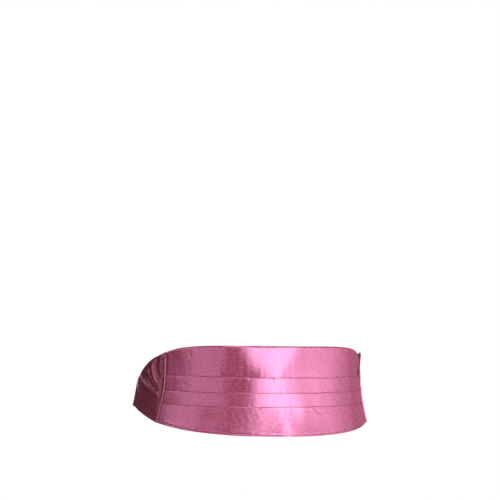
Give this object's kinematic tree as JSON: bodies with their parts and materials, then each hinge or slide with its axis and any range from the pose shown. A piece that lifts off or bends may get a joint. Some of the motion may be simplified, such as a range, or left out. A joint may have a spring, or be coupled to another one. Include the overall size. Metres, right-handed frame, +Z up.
{
  "type": "cummerbund",
  "caption": "Pleated satin cummerbund with rolled end seams, tapered side panels and a back strap looped through a plain clasp, fastened as it is worn round a waist.",
  "frame": {"origin": "middle of the waist that the band goes round, level with the middle of the strap", "axes": "+Z up as worn, -Y to the front where the pleats are, +X to the wearer's left"},
  "size_m": [0.3314, 0.2688, 0.1213],
  "materials": {
    "satin": "glossy pink satin with a fine weave",
    "side_satin": "the same satin, which lies slacker and looks darker",
    "strap_satin": "the same satin, plain and less shiny",
    "clasp": "smooth black"
  },
  "bodies": {
    "root": {"front_pleats": "satin", "end_seam_right": "satin", "end_seam_left": "satin", "side_panel_right": "side_satin", "side_panel_left": "side_satin", "back_strap_right": "strap_satin", "back_strap_left": "strap_satin", "back_clasp": "clasp"}
  },
  "joints": []
}
